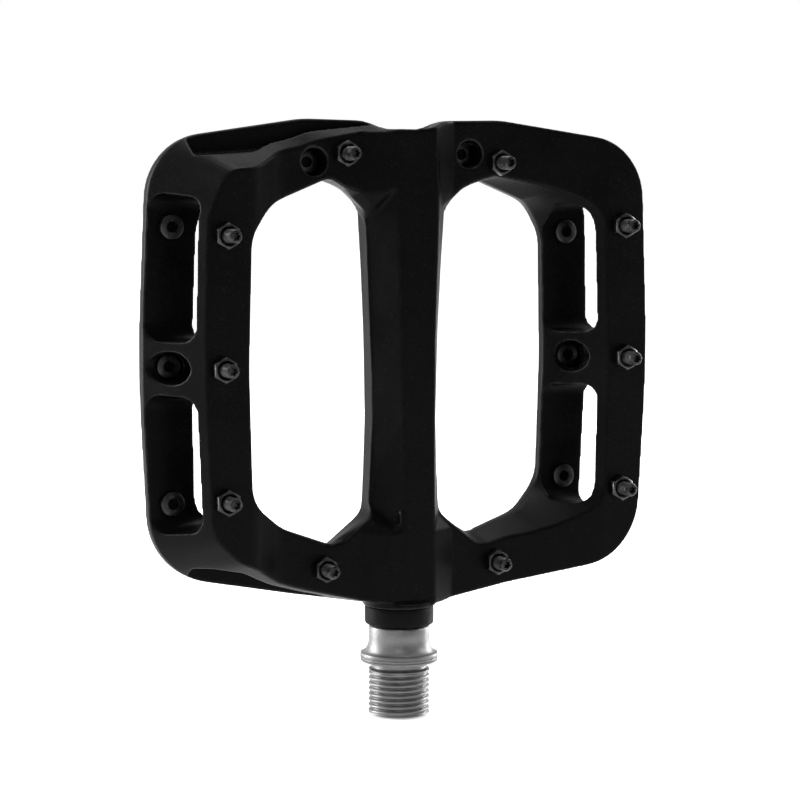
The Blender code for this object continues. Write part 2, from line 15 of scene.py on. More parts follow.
import bmesh
import bpy
import numpy as np
from mathutils import Matrix, Vector


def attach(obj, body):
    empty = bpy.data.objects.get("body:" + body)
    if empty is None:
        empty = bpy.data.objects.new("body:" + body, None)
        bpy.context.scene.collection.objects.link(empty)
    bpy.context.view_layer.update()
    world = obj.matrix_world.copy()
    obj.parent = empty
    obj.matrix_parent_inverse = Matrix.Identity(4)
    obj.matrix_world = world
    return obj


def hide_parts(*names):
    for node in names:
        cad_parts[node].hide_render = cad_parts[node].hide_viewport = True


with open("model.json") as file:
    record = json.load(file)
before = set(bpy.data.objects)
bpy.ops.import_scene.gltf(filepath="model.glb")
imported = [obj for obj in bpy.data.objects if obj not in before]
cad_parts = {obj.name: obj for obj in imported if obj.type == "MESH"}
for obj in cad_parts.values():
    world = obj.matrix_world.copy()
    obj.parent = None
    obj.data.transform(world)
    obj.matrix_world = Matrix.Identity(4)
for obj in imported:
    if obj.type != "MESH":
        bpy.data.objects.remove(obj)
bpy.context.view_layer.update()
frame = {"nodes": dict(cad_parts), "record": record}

MM = 0.001
TAU = 2 * math.pi
WELD = 0.002                 # points nearer than this become one after each boolean
GAP = 0.3                    # room round a pin's head in its seat

# Platform
BOTTOM_Z = 13.7              # inboard end of the platform
TOP_Z = 123.6                # outboard end of the spine
BLOCK_Z = (0.0, 140.0)       # the casting is cut from a block between these heights
BAR_HALF = 8.65              # half thickness at the outer bars
CENTRE_HALF = 4.0            # half thickness of the plates beside the spine
PLATE = 2.55                 # thickness of one face plate over a pocket
SPINE_HALF = 7.2             # half thickness of the spine
BOSS_HALF = 7.12             # half thickness of the low hills at its ends
CREASE_FAR = (26.5, 49.5)    # where a concave face starts and ends its slope, on its long side
CREASE_NEAR = (32.0, 39.5)   # and on its short side
REACH = BAR_HALF + 1.0       # cutters run this far out of the middle plane
EDGE_POINTS = 140            # points along one half of an outline
LIP_R = 8.5                  # ring at the platform's foot, over the seal

# Outlines of one half of a face, as corners (x, z, radius, steps) from the top to the bottom of the spine.
LONG_EDGE = [(4.0, 123.8, 8, 2), (9.0, 125.5, 5, 2), (24.0, 125.8, 25, 2), (59.1, 120.3, 15, 7),
             (61.2, 70.0, 300, 2), (58.7, 22.9, 16.5, 7), (9.0, 14.3, 4, 1)]
SHORT_EDGE = [(4.0, 123.4, 8, 1), (10.0, 121.0, 5, 2), (24.0, 115.0, 12, 2), (46.0, 114.5, 5, 3),
              (50.8, 103.2, 10, 4), (51.4, 70.0, 300, 2), (49.7, 33.0, 8, 4), (43.0, 26.6, 10, 3),
              (10.0, 15.8, 6, 2)]
LONG_WINDOW = [(8.3, 106.6, 1.5, 2), (15.9, 112.8, 3.5, 3), (34.0, 114.0, 30, 2), (49.2, 105.2, 9, 5),
               (50.6, 70.0, 300, 2), (49.9, 35.6, 7, 5), (35.0, 27.2, 30, 2), (19.8, 24.4, 6, 3),
               (8.2, 35.2, 4, 2)]
SHORT_WINDOW = [(9.3, 104.4, 4, 2), (14.5, 109.4, 4, 2), (19.6, 112.4, 3, 2), (35.0, 106.2, 14, 4),
                (40.2, 99.5, 8, 3), (40.9, 70.0, 200, 2), (40.0, 39.8, 8, 4), (31.0, 33.3, 14, 3),
                (18.6, 28.8, 3, 3), (8.2, 35.2, 4, 2)]
WINDOW_SIDE = (7.1, 60.0)    # the windows' side on the spine runs through this point, inside the spine

# Spine sections: height, x of the front fold, half width of the flat front, half width of the whole
SPINE_STATIONS = [(BOTTOM_Z + 0.2, -1.2, 5.4, 7.4), (36.0, -1.8, 5.6, 8.1), (42.0, -1.9, 5.6, 7.5),
                  (58.0, -2.4, 5.5, 7.25), (76.0, -3.0, 5.5, 7.6), (92.0, -3.5, 6.0, 8.4),
                  (104.0, -4.1, 6.3, 9.2), (TOP_Z - 0.2, -5.2, 5.7, 9.2)]
# End hills: height, half width of the flat, half width of the foot, half height
TOP_BOSS = [(104.0, 5.0, 8.5, 6.8), (109.0, 5.6, 12.8, BOSS_HALF), (135.0, 5.6, 12.8, BOSS_HALF)]
BOTTOM_BOSS = [(5.0, 5.8, 12.8, BOSS_HALF), (31.0, 5.8, 12.8, BOSS_HALF), (36.0, 5.0, 8.0, 6.8)]

# The opening beside the spine's leaning facet: its outline at the face and near the middle plane
RECESS_FACE = [(3.0, 113.0, 1, 1), (9.6, 112.0, 3, 2), (15.5, 113.0, 3, 2), (21.0, 113.0, 1, 1),
               (21.0, 25.4, 1, 1), (16.8, 25.4, 3, 2), (12.0, 29.0, 3, 2), (3.0, 29.0, 1, 1)]
RECESS_FOOT = [(3.0, 102.0, 1, 1), (8.0, 102.0, 3, 2), (14.0, 108.5, 3, 2), (21.0, 109.5, 1, 1),
               (21.0, 31.0, 1, 1), (16.0, 31.5, 3, 2), (9.0, 37.5, 3, 2), (3.0, 37.5, 1, 1)]
RECESS_FOOT_Y = -0.3

# Side bars: two pockets and an oval hole through each bar, from the outer to the inner side
POCKET_HALF_Y = 6.05
POCKET_CORNER_R = (4.0, 3.0)   # at its outer and inner ends
POCKET_OUTER_X, POCKET_INNER_X = 64.0, 40.0
POCKETS = [((76.1, 109.9), (76.1, 106.4)), ((31.2, 64.3), (35.8, 63.2))]
OVAL_Z, OVAL_HALF_Z = 70.2, 3.65
OVAL_OUTER_Y, OVAL_INNER_Y = 5.6, 3.5
OVAL_STEPS = 48

# Wedge pockets in the slanted ends: outlines in the face plane
TOP_WEDGE = [(8.0, 121.8), (28.0, 118.9), (44.0, 117.7), (56.0, 117.0), (56.0, 130.0), (8.0, 130.0)]
BOTTOM_WEDGE = [(20.0, 19.4), (26.0, 21.7), (46.5, 24.8), (56.0, 24.2), (56.0, 8.0), (20.0, 8.0)]
WEDGES = [(TOP_WEDGE, 50.3), (BOTTOM_WEDGE, 50.3)]
WEDGE_CREASE = (33.5, 46.0)  # the near wall of a wedge pocket starts and ends its slope here
WEDGE_END_R = 3.0

# How fine the casting is
FINE = 3                     # arcs here have this many times the steps that their corners name
VOXEL = 0.27                 # size of the cells that fuse and round the casting
EDGE_SMOOTHING = 12          # smoothing passes after that
EDGE_HIGHLIGHT_GAIN = 8                # how quickly the painted edge highlight grows with the sharpness of an edge

# Traction pins: (x, z) on the front face
BAR_PINS = [(54.0, 101.4), (54.9, 70.2), (54.0, 39.1), (-46.5, 99.7), (-47.2, 70.2), (-46.5, 40.7)]
TOP_PINS = [(-15.8, 117.9), (23.4, 116.0)]
BOTTOM_PINS = [(-20.8, 23.5), (23.2, 22.5)]
PIN_R, PIN_PITCH, PIN_THREAD_DEPTH = 1.6, 0.6, 0.22
PIN_PROUD = 5.8              # pin tip above the face
PIN_HEAD_R, PIN_HEAD_H = 2.85, 0.9
PIN_HEAD_GAP = 0.1           # between a pin's head and the wall that it is pulled against
PIN_CROWN_H = 0.55
PIN_CROWN = [(0.06, 0.45), (0.14, 0.16), (0.24, 0.05), (0.38, 0.0)]   # in from the side, down from the tip
STAR_R, STAR_WAVE = 0.86, 0.16   # mean radius of a pin's driver socket, and the height of its lobes
STAR_STEPS = 48
SEAT_FOOT_Y = 2.0            # the cutter of a bar pin's seat starts here, inside the pocket
STUD_DEPTH = 2.6             # how far a bottom stud reaches into the body
NUT_FLATS, NUT_H = 5.2, 2.0
ACCESS_R = 3.15              # hole through which a top pin is fitted
ACCESS_FOOT_Y = -9.0         # its cutter starts here, outside the other face

# The bore, and what turns in it or closes it
BORE_R = 6.35                # bushing and needle cup seat
BORE_MID_R = 4.05
CAP_SEAT_R = 6.5
SEAT_TOP_Z = 30.0
BEARING_SEAT_Z = 109.7
SPINDLE_FOOT_Z = -12.5
SPINDLE_INNER_R, SPINDLE_MID_R, SPINDLE_END_R = 5.0, 3.55, 2.5
THREAD_R, THREAD_PITCH, THREAD_DEPTH = 7.14, 1.27, 0.62
THREAD_Z = (-11.9, -1.7)
SPINDLE_KEY, CAP_KEY = 8.0, 5.0   # hex keys that fit the foot of the spindle and the end cap


# ---------------------------------------------------------------- mesh helpers

def fillet(before, corner, after, radius, steps):
    """Points of the arc that rounds one corner of an outline."""
    c = Vector(corner)
    to_a = (Vector(before) - c).normalized()
    to_b = (Vector(after) - c).normalized()
    half = to_a.angle(to_b) / 2
    reach = radius / math.tan(half)
    room = 0.49 * min((Vector(before) - c).length, (Vector(after) - c).length)
    if reach > room:
        reach, radius = room, room * math.tan(half)
    centre = c + (to_a + to_b).normalized() * (radius / math.sin(half))
    start = c + to_a * reach - centre
    end = c + to_b * reach - centre
    sweep = start.angle_signed(end)
    return [centre + Matrix.Rotation(-sweep * i / steps, 2) @ start for i in range(steps + 1)]


def rounded_path(corners, first, last):
    """An open path from first to last whose corners are (x, z, radius, steps)."""
    spots = [first] + [(c[0], c[1]) for c in corners] + [last]
    path = [Vector(first)]
    for i, (x, z, radius, steps) in enumerate(corners):
        path += fillet(spots[i], (x, z), spots[i + 2], radius, steps * FINE)
    path.append(Vector(last))
    return path


def rounded_loop(corners):
    """A closed outline whose corners are (x, z, radius, steps)."""
    loop = []
    for i, (x, z, radius, steps) in enumerate(corners):
        before, after = corners[i - 1][:2], corners[(i + 1) % len(corners)][:2]
        loop += fillet(before, (x, z), after, radius, steps * FINE) if radius else [Vector((x, z))]
    return loop


def make_mesh(name, points, faces):
    """An object in metres from points in millimetres."""
    mesh = bpy.data.meshes.new(name)
    bm = bmesh.new()
    verts = [bm.verts.new(Vector(p) * MM) for p in points]
    for face in faces:
        bm.faces.new([verts[i] for i in face])
    bmesh.ops.triangulate(bm, faces=[f for f in bm.faces if len(f.verts) > 4])
    bmesh.ops.recalc_face_normals(bm, faces=bm.faces)
    bm.to_mesh(mesh)
    bm.free()
    obj = bpy.data.objects.new(name, mesh)
    bpy.context.collection.objects.link(obj)
    return obj


def loft(name, rings):
    """A closed solid through rings of equally many points, capped at both ends."""
    count = len(rings[0])
    points = [p for ring in rings for p in ring]
    faces = [list(range(count)), list(range(len(points) - count, len(points)))]
    for r in range(len(rings) - 1):
        low, high = r * count, (r + 1) * count
        for i in range(count):
            j = (i + 1) % count
            faces.append([low + i, low + j, high + j])
            faces.append([low + i, high + j, high + i])
    return make_mesh(name, points, faces)


def prism_y(name, outline, front, back):
    """An outline in x and z, pulled along Y."""
    return loft(name, [[(p[0], y, p[1]) for p in outline] for y in (front, back)])


def prism_z(name, outline, low, high):
    """An outline in x and y, pulled along Z."""
    return loft(name, [[(p[0], p[1], z) for p in outline] for z in (low, high)])


def turned(name, profile, steps=64, radius_at=None):
    """A solid of revolution about Z, or a ring if its profile doesn't start on the axis.

    A solid's profile starts and ends on the axis.  radius_at(r, z, angle) may change the radius, as a
    thread does.
    """
    solid = profile[0][0] == 0
    inner = profile[1:-1] if solid else profile
    points = []
    for i in range(steps):
        a = TAU * i / steps
        for r, z in inner:
            radius = radius_at(r, z, a) if radius_at else r
            points.append((radius * math.cos(a), radius * math.sin(a), z))
    n = len(inner)
    faces = []
    for i in range(steps):
        a, b = i * n, ((i + 1) % steps) * n
        for k in range(n - 1 if solid else n):
            m = (k + 1) % n
            faces.append([a + k, a + m, b + m, b + k])
    if solid:
        points += [(0, 0, profile[0][1]), (0, 0, profile[-1][1])]
        low, high = len(points) - 2, len(points) - 1
        for i in range(steps):
            a, b = i * n, ((i + 1) % steps) * n
            faces.append([low, a, b])
            faces.append([high, b + n - 1, a + n - 1])
    return make_mesh(name, points, faces)


def rod(name, radius, low, high, steps=64):
    return turned(name, [(0, low), (radius, low), (radius, high), (0, high)], steps)


def hexagon(flats, turn=0.0):
    """An outline that measures flats from side to side."""
    corner = flats / 2 / math.cos(math.pi / 6)
    angles = [turn + k * TAU / 6 for k in range(6)]
    return [(corner * math.cos(a), corner * math.sin(a)) for a in angles]


def remove(obj):
    mesh = obj.data
    bpy.data.objects.remove(obj)
    bpy.data.meshes.remove(mesh)


def apply_modifiers(obj):
    """Gives an object the mesh that its modifiers make, and clears them."""
    bpy.context.view_layer.update()
    graph = bpy.context.evaluated_depsgraph_get()
    result = bpy.data.meshes.new_from_object(obj.evaluated_get(graph))
    obj.modifiers.clear()
    old = obj.data
    obj.data = result
    bpy.data.meshes.remove(old)
    obj.data.name = obj.name
    return obj


def combine(obj, other, operation, keep=False):
    """A boolean of obj with other, welded clean afterwards; other is removed unless it is kept."""
    step = obj.modifiers.new("step", "BOOLEAN")
    step.operation = operation
    step.solver = "EXACT"
    step.object = other
    apply_modifiers(obj)
    bm = bmesh.new()
    bm.from_mesh(obj.data)
    bmesh.ops.remove_doubles(bm, verts=bm.verts, dist=WELD * MM)
    bmesh.ops.dissolve_degenerate(bm, edges=bm.edges, dist=WELD * MM)
    bm.to_mesh(obj.data)
    bm.free()
    if not keep:
        remove(other)
    return obj


def half_turn(obj):
    obj.data.transform(Matrix.Rotation(math.pi, 4, "Z"))


def both_sides(obj, other, operation):
    """Combine other with obj as it stands and again after half a turn about Z."""
    combine(obj, other, operation, keep=True)
    half_turn(other)
    return combine(obj, other, operation)


def smooth_shade(obj, angle=35):
    obj.data.shade_smooth()
    obj.data.set_sharp_from_angle(angle=math.radians(angle))
    return obj


# ---------------------------------------------------------------- platform

def half_thickness(x, crease):
    """How far a face lies from the middle plane; the crease is where it starts and ends its slope."""
    slope = min(1.0, max(0.0, (abs(x) - crease[0]) / (crease[1] - crease[0])))
    return CENTRE_HALF + (BAR_HALF - CENTRE_HALF) * slope


def ruled_edge(upright, sloped, crease):
    """Rings of an edge that stands straight on the plate at +Y, then slopes out to the face at -Y.

    upright is the outline on the straight part, sloped the one where the slope meets the bar's face.
    """
    foot = [(p.x, half_thickness(p.x, crease) - PLATE, p.y) for p in upright]
    start = []
    for (x, y, z), end in zip(foot, sloped):
        run = (REACH - BAR_HALF) / (BAR_HALF + y)
        start.append((end.x + (end.x - x) * run, -REACH, end.y + (end.y - z) * run))
    return [start, foot, [(x, REACH, z) for x, _, z in foot]]


def matched(first, second):
    """Two paths as equally many points each, matched by their share of the length."""
    paths = []
    for path in (first, second):
        lengths = [0.0]
        for a, b in zip(path, path[1:]):
            lengths.append(lengths[-1] + (b - a).length)
        spots, k = [], 0
        for i in range(EDGE_POINTS + 1):
            share = lengths[-1] * i / EDGE_POINTS
            while k < len(path) - 2 and lengths[k + 1] < share:
                k += 1
            step = lengths[k + 1] - lengths[k]
            spots.append(path[k].lerp(path[k + 1], min(1.0, (share - lengths[k]) / step)))
        paths.append(spots)
    return paths


def outer_edge():
    """The platform's edge; on the left the back plate reaches furthest, on the right the front plate."""
    ends = (0.0, TOP_Z), (0.0, BOTTOM_Z)
    long_path, short_path = matched(rounded_path(LONG_EDGE, *ends), rounded_path(SHORT_EDGE, *ends))
    start, foot, end = ruled_edge(long_path, short_path, CREASE_FAR)
    middle = [tuple((a + b) / 2 for a, b in zip(p, q)) for p, q in zip(start, foot)]
    half = [start, middle, foot, end]
    left = [[(-x, y, z) for x, y, z in ring] for ring in half]
    right = [[(x, -y, z) for x, y, z in ring] for ring in reversed(half)]
    return loft("outer_edge", [a + b[-2:0:-1] for a, b in zip(left, right)])


def concave_section(offset=0.0, near=CREASE_NEAR, reach=66.0, end_r=0.0):
    """The platform's thickness seen along Z, each face dished between its creases."""
    bar, centre = BAR_HALF - offset, CENTRE_HALF - offset
    front = [(-reach, bar, end_r, 3), (-near[1], bar, 8, 2), (-near[0], centre, 8, 2),
             (CREASE_FAR[0], centre, 14, 2), (CREASE_FAR[1], bar, 12, 2), (reach, bar, end_r, 3)]
    back = [(-x, -t, r, s) for x, t, r, s in front]
    return [(p.x, -p.y) for p in rounded_loop(front + back)]


def window():
    """The right window: its edge stands straight on the back plate and slopes out to the front face."""
    long_path, short_path = matched(rounded_path(LONG_WINDOW, WINDOW_SIDE, WINDOW_SIDE)[:-1],
                                    rounded_path(SHORT_WINDOW, WINDOW_SIDE, WINDOW_SIDE)[:-1])
    return loft("window", ruled_edge(short_path, long_path, CREASE_NEAR))


def recess():
    """Clears the plate in front of the spine's leaning facet, on the front left."""
    rings = [[(-p.x, y, p.y) for p in rounded_loop(corners)]
             for corners, y in ((RECESS_FACE, -REACH), (RECESS_FOOT, RECESS_FOOT_Y))]
    return loft("recess", rings)


def spine():
    """Eight-sided bar: a fold, a flat front, a bevel, a wall, and the same again after half a turn."""
    rings = []
    for z, fold, flat, half in SPINE_STATIONS:
        front = [(fold, SPINE_HALF), (flat, SPINE_HALF), (half, CENTRE_HALF), (half, 0.0)]
        rings.append([(s * x, -s * t, z) for s in (1, -1) for x, t in front])
    return loft("spine", rings)


def end_boss(name, stations):
    """A low hill across the end of the spine, the same on both faces."""
    foot_y = CENTRE_HALF - 0.6
    rings = []
    for z, flat, foot, half in stations:
        quarter = [(flat, half), (foot, foot_y)]
        front = [(-x, t) for x, t in quarter[::-1]] + quarter
        rings.append([(s * x, -s * t, z) for s in (1, -1) for x, t in front])
    return loft(name, rings)


def side_pocket(outer, inner):
    """A slot through the left bar, as a loft between its outer and inner openings."""
    rings = []
    for x, (low, high), radius in zip((-POCKET_OUTER_X, -POCKET_INNER_X), (outer, inner), POCKET_CORNER_R):
        corners = [(y, z, radius, 3) for y, z in ((-POCKET_HALF_Y, low), (POCKET_HALF_Y, low),
                                                  (POCKET_HALF_Y, high), (-POCKET_HALF_Y, high))]
        rings.append([(x, p.x, p.y) for p in rounded_loop(corners)])
    return loft("pocket", rings)


def side_oval():
    """An oval hole through the left bar, a little flatter at its inner end."""
    rings = []
    turns = [TAU * i / OVAL_STEPS for i in range(OVAL_STEPS)]
    for x, half_y in ((-POCKET_OUTER_X, OVAL_OUTER_Y), (-POCKET_INNER_X, OVAL_INNER_Y)):
        rings.append([(x, half_y * math.cos(a), OVAL_Z + OVAL_HALF_Z * math.sin(a)) for a in turns])
    return loft("oval", rings)


def wedge_pocket(outline, end_x):
    """A blind pocket between the face plates, open through the slanted end on the left."""
    block = prism_y("wedge", [(-x, z) for x, z in outline], -BAR_HALF, BAR_HALF)
    section = concave_section(PLATE, WEDGE_CREASE, end_x, WEDGE_END_R)
    return combine(block, prism_z("wedge_section", section, *BLOCK_Z), "INTERSECT")


def on_front(obj, x, z):
    """Turn a piece built along Z so that its +Z points out of the front face at (x, z)."""
    obj.data.transform(Matrix.Translation(Vector((x, 0, z)) * MM) @ Matrix.Rotation(math.pi / 2, 4, "X"))
    return obj


def curvature_attribute(obj):
    """Stores on each vertex how far it stands out of its neighbours, as the mask of the painted highlight
    on the edges.
    """
    mesh = obj.data
    count = len(mesh.vertices)
    co = np.empty(count * 3)
    mesh.vertices.foreach_get("co", co)
    co = co.reshape(-1, 3)
    normal = np.empty(count * 3)
    mesh.vertices.foreach_get("normal", normal)
    normal = normal.reshape(-1, 3)
    ends = np.empty(len(mesh.edges) * 2, np.int64)
    mesh.edges.foreach_get("vertices", ends)
    a, b = ends[0::2], ends[1::2]
    degree = np.bincount(ends, minlength=count)

    def neighbour_mean(values):
        total = np.bincount(a, weights=values[b], minlength=count)
        total += np.bincount(b, weights=values[a], minlength=count)
        return total / np.maximum(degree, 1)

    mean = np.stack([neighbour_mean(co[:, k]) for k in range(3)], axis=1)
    bulge = ((co - mean) * normal).sum(axis=1) / (VOXEL * MM)
    for _ in range(2):
        bulge = 0.5 * bulge + 0.5 * neighbour_mean(bulge)
    # mask of the painted edge highlight in coated_metal
    attribute = mesh.attributes.new("edge", "FLOAT", "POINT")
    attribute.data.foreach_set("value", np.clip(bulge * EDGE_HIGHLIGHT_GAIN, -1, 1).astype(np.float32))


def join(first, *others):
    """One object from several overlapping closed ones; the remesh in platform() fuses them."""
    bm = bmesh.new()
    for obj in (first, *others):
        bm.from_mesh(obj.data)
    bm.to_mesh(first.data)
    bm.free()
    for obj in others:
        remove(obj)


def platform():
    """The casting: cut from a block piece by piece, then fused with its spine and rounded."""
    body = prism_z("platform_casting", concave_section(), *BLOCK_Z)
    combine(body, end_boss("top_boss", TOP_BOSS), "UNION")
    combine(body, end_boss("bottom_boss", BOTTOM_BOSS), "UNION")
    combine(body, outer_edge(), "INTERSECT")
    both_sides(body, window(), "DIFFERENCE")
    both_sides(body, recess(), "DIFFERENCE")
    for outer, inner in POCKETS:
        both_sides(body, side_pocket(outer, inner), "DIFFERENCE")
    both_sides(body, side_oval(), "DIFFERENCE")
    for outline, end_x in WEDGES:
        both_sides(body, wedge_pocket(outline, end_x), "DIFFERENCE")
    for x, z in BAR_PINS:
        seat = rod("seat", PIN_HEAD_R + GAP, SEAT_FOOT_Y, POCKET_HALF_Y + 0.1)
        both_sides(body, on_front(seat, x, z), "DIFFERENCE")
    for x, z in TOP_PINS:
        access = rod("access", ACCESS_R, ACCESS_FOOT_Y, CENTRE_HALF - PLATE)
        both_sides(body, on_front(access, x, z), "DIFFERENCE")
    bar = spine()
    lip = rod("lip", LIP_R, BOTTOM_Z - 0.4, BOTTOM_Z + 0.9)
    bore = turned("bore", [(0, BOTTOM_Z - 5), (BORE_R, BOTTOM_Z - 5), (BORE_R, SEAT_TOP_Z),
                           (BORE_MID_R, SEAT_TOP_Z), (BORE_MID_R, BEARING_SEAT_Z),
                           (CAP_SEAT_R, BEARING_SEAT_Z), (CAP_SEAT_R, TOP_Z + 5), (0, TOP_Z + 5)])
    for piece in (body, bar, lip):
        combine(piece, bore, "DIFFERENCE", keep=True)
    remove(bore)
    join(body, bar, lip)
    remesh = body.modifiers.new("remesh", "REMESH")
    remesh.mode = "VOXEL"
    remesh.voxel_size = VOXEL * MM
    soften = body.modifiers.new("soften", "SMOOTH")
    soften.factor = 0.5
    soften.iterations = EDGE_SMOOTHING
    apply_modifiers(body)
    curvature_attribute(body)
    body.data.shade_smooth()
    return body


# ---------------------------------------------------------------- pins and nuts

def steps_between(low, high, step):
    """Even heights from low to high, about one step apart."""
    count = max(1, round((high - low) / step))
    return [low + (high - low) * i / count for i in range(count + 1)]


def thread(major_r, pitch, depth, low, high, fade):
    """A radius function for a right-hand helical thread between two heights, fading out at both ends."""
    def radius_at(r, z, angle):
        if abs(r - major_r) > 1e-6 or not low <= z <= high:
            return r
        phase = (z / pitch - angle / TAU) % 1.0
        wave = (0.5 + 0.5 * math.cos(TAU * phase)) ** 1.6
        strength = min(1.0, (z - low) / fade, (high - z) / fade)
        return r - depth * wave * strength
    return radius_at


def pin(name, face_y, foot_y, head):
    """A threaded pin with a driver socket in its tip and, if head is true, a round head at its foot."""
    tip = face_y + PIN_PROUD
    thread_top = tip - PIN_CROWN_H
    shank_foot = foot_y + (PIN_HEAD_H if head else 0.0)
    shank = [(PIN_R, z) for z in steps_between(shank_foot, thread_top, PIN_PITCH / 7)]
    crown = [(PIN_R - inset, tip - drop) for inset, drop in PIN_CROWN] + [(0, tip)]
    if head:
        r = PIN_HEAD_R
        foot = [(0, foot_y), (r - 0.35, foot_y), (r - 0.1, foot_y + 0.1), (r, foot_y + 0.35),
                (r, shank_foot - 0.1), (r - 0.1, shank_foot)]
    else:
        foot = [(0, foot_y), (PIN_R - 0.3, foot_y)]
    wind = thread(PIN_R, PIN_PITCH, PIN_THREAD_DEPTH, shank_foot + 0.3, thread_top, 0.4)
    piece = turned(name, foot + shank + crown, 32, wind)
    combine(piece, star_socket(tip - 1.2, tip + 1.0), "DIFFERENCE")
    if head:
        combine(piece, rod("head_socket", 1.3, foot_y - 1.0, foot_y + 1.5, 32), "DIFFERENCE")
    return smooth_shade(piece, 30)


def star_socket(low, high):
    """A six-lobed driver socket."""
    outline = []
    for i in range(STAR_STEPS):
        a = TAU * i / STAR_STEPS
        r = STAR_R + STAR_WAVE * math.cos(6 * a)
        outline.append((r * math.cos(a), r * math.sin(a)))
    return prism_z("star_socket", outline, low, high)


def nut(name, face_y):
    """A hex nut with chamfered corners and a countersunk hole."""
    low, high = face_y - 0.05, face_y + NUT_H
    corner = NUT_FLATS / 2 / math.cos(math.pi / 6)
    piece = prism_z(name, hexagon(NUT_FLATS, math.pi / 2), low, high)
    crown = turned("crown", [(0, low - 1), (corner + 1, low - 1), (corner + 1, high - 1.15),
                             (corner - 0.6, high + 0.02), (0, high + 0.02)], 64)
    combine(piece, crown, "INTERSECT")
    hole_r, rim_r = PIN_R + 0.05, PIN_R + 0.62
    hole = turned("hole", [(0, low - 1), (hole_r, low - 1), (hole_r, high - 0.55), (rim_r, high + 0.01),
                           (rim_r, high + 1), (0, high + 1)], 48)
    combine(piece, hole, "DIFFERENCE")
    soften = piece.modifiers.new("soften", "BEVEL")
    soften.width = 0.09 * MM
    soften.segments = 2
    soften.angle_limit = math.radians(25)
    apply_modifiers(piece)
    return smooth_shade(piece, 40)


def place_pins_and_nuts(steel):
    """Every pin and nut, on both faces; each pin is turned a little differently about its own axis."""
    bar_under = POCKET_HALF_Y - PIN_HEAD_GAP - PIN_HEAD_H
    centre_under = CENTRE_HALF - PLATE - PIN_HEAD_GAP - PIN_HEAD_H
    kinds = [("bar", BAR_PINS, BAR_HALF, bar_under, True),
             ("top", TOP_PINS, CENTRE_HALF, centre_under, True),
             ("bottom", BOTTOM_PINS, CENTRE_HALF, CENTRE_HALF - STUD_DEPTH, False)]
    for kind, places, face_y, foot_y, head in kinds:
        masters = {"pin": pin("pin_master", face_y, foot_y, head), "nut": nut("nut_master", face_y)}
        for label, master in masters.items():
            for number, (x, z) in enumerate(places, 1):
                for side in ("front", "back"):
                    node = f"{side}_{kind}_{label}_{number}"
                    piece = bpy.data.objects.new(f"{node}_fine", master.data.copy())
                    bpy.context.collection.objects.link(piece)
                    if label == "pin":
                        piece.data.transform(Matrix.Rotation(0.7 * number + 0.3 * len(side), 4, "Z"))
                    on_front(piece, x, z)
                    if side == "back":
                        half_turn(piece)
                    dress(piece, node, "platform", steel)
            remove(master)


def dress(piece, node, body, look):
    """Give a piece its material, hide the imported node that it stands for, and attach it to the body it
    rides on.
    """
    piece.data.materials.clear()
    piece.data.materials.append(look)
    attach(piece, body)
    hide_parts(node)
    return piece


# ---------------------------------------------------------------- turned pieces

def spindle():
    """The axle, from its threaded foot up: relief, flange with two grooves, flare, neck and shaft."""
    foot_z, (thread_low, thread_high) = SPINDLE_FOOT_Z, THREAD_Z
    inner_r, mid_r, end_r = SPINDLE_INNER_R, SPINDLE_MID_R, SPINDLE_END_R
    foot = [(0, foot_z), (5.9, foot_z), (6.25, foot_z + 0.1), (6.6, foot_z + 0.3)]
    threaded = [(THREAD_R, z) for z in steps_between(thread_low, thread_high, THREAD_PITCH / 12)]
    relief = [(6.5, -1.45), (6.3, -1.3), (6.26, -1.0), (6.27, 0.1), (6.4, 0.26), (7.15, 0.3), (7.35, 0.0)]
    flange = [(8.4, 0.0), (8.8, 0.12), (9.02, 0.35), (9.05, 0.6), (8.86, 0.72), (8.86, 0.86), (9.08, 0.98),
              (9.1, 1.25), (8.92, 1.37), (8.92, 1.5), (9.1, 1.62), (9.1, 1.95), (9.0, 2.2)]
    flare = [(7.1 + 1.9 * (1 - math.sin(a)), 2.2 + 3.6 * (1 - math.cos(a)))
             for a in (math.radians(7.5 * i) for i in range(1, 13))]
    neck = [(7.1, 6.1), (7.08, 8.1), (6.9, 8.5), (6.6, 8.6), (inner_r, 8.6)]
    shaft = [(inner_r, 21.9), (mid_r, 22.4), (mid_r, 108.4), (3.3, BEARING_SEAT_Z),
             (end_r, BEARING_SEAT_Z), (end_r, 121.0), (2.1, 121.4), (0, 121.4)]
    wind = thread(THREAD_R, THREAD_PITCH, THREAD_DEPTH, thread_low, thread_high, 0.5)
    piece = turned("spindle_fine", foot + threaded + relief + flange + flare + neck + shaft, 96, wind)
    combine(piece, prism_z("key_socket", hexagon(SPINDLE_KEY), -14.0, -3.5), "DIFFERENCE")
    return smooth_shade(piece, 55)


def dust_seal():
    """Rubber ring with rounded edges."""
    low, high, inner = 8.85, 13.2, 5.3
    profile = [(inner, low), (7.0, low), (7.55, low + 0.06), (7.9, low + 0.3), (8.05, low + 0.7),
               (8.07, low + 3.2), (8.03, high - 0.1), (7.95, high), (inner, high)]
    return smooth_shade(turned("dust_seal_fine", profile, 96), 50)


def end_cap():
    """Threaded cap with a chamfered rim and a hex socket."""
    r = CAP_SEAT_R - 0.12
    skirt = [(4.6, 121.7), (4.6, 119.9), (5.2, 119.9), (5.2, 121.5), (r, 121.5)]
    rim = [(r, 123.0), (r - 0.12, 123.28), (r - 0.4, 123.42), (4.3, 123.42), (4.15, 123.3)]
    profile = [(0, 121.7)] + skirt + rim + [(4.0, 123.25), (3.4, 123.25), (0, 123.25)]
    piece = turned("end_cap_fine", profile, 96)
    combine(piece, prism_z("cap_socket", hexagon(CAP_KEY), 122.3, 125), "DIFFERENCE")
    return smooth_shade(piece, 35)


# ---------------------------------------------------------------- materials

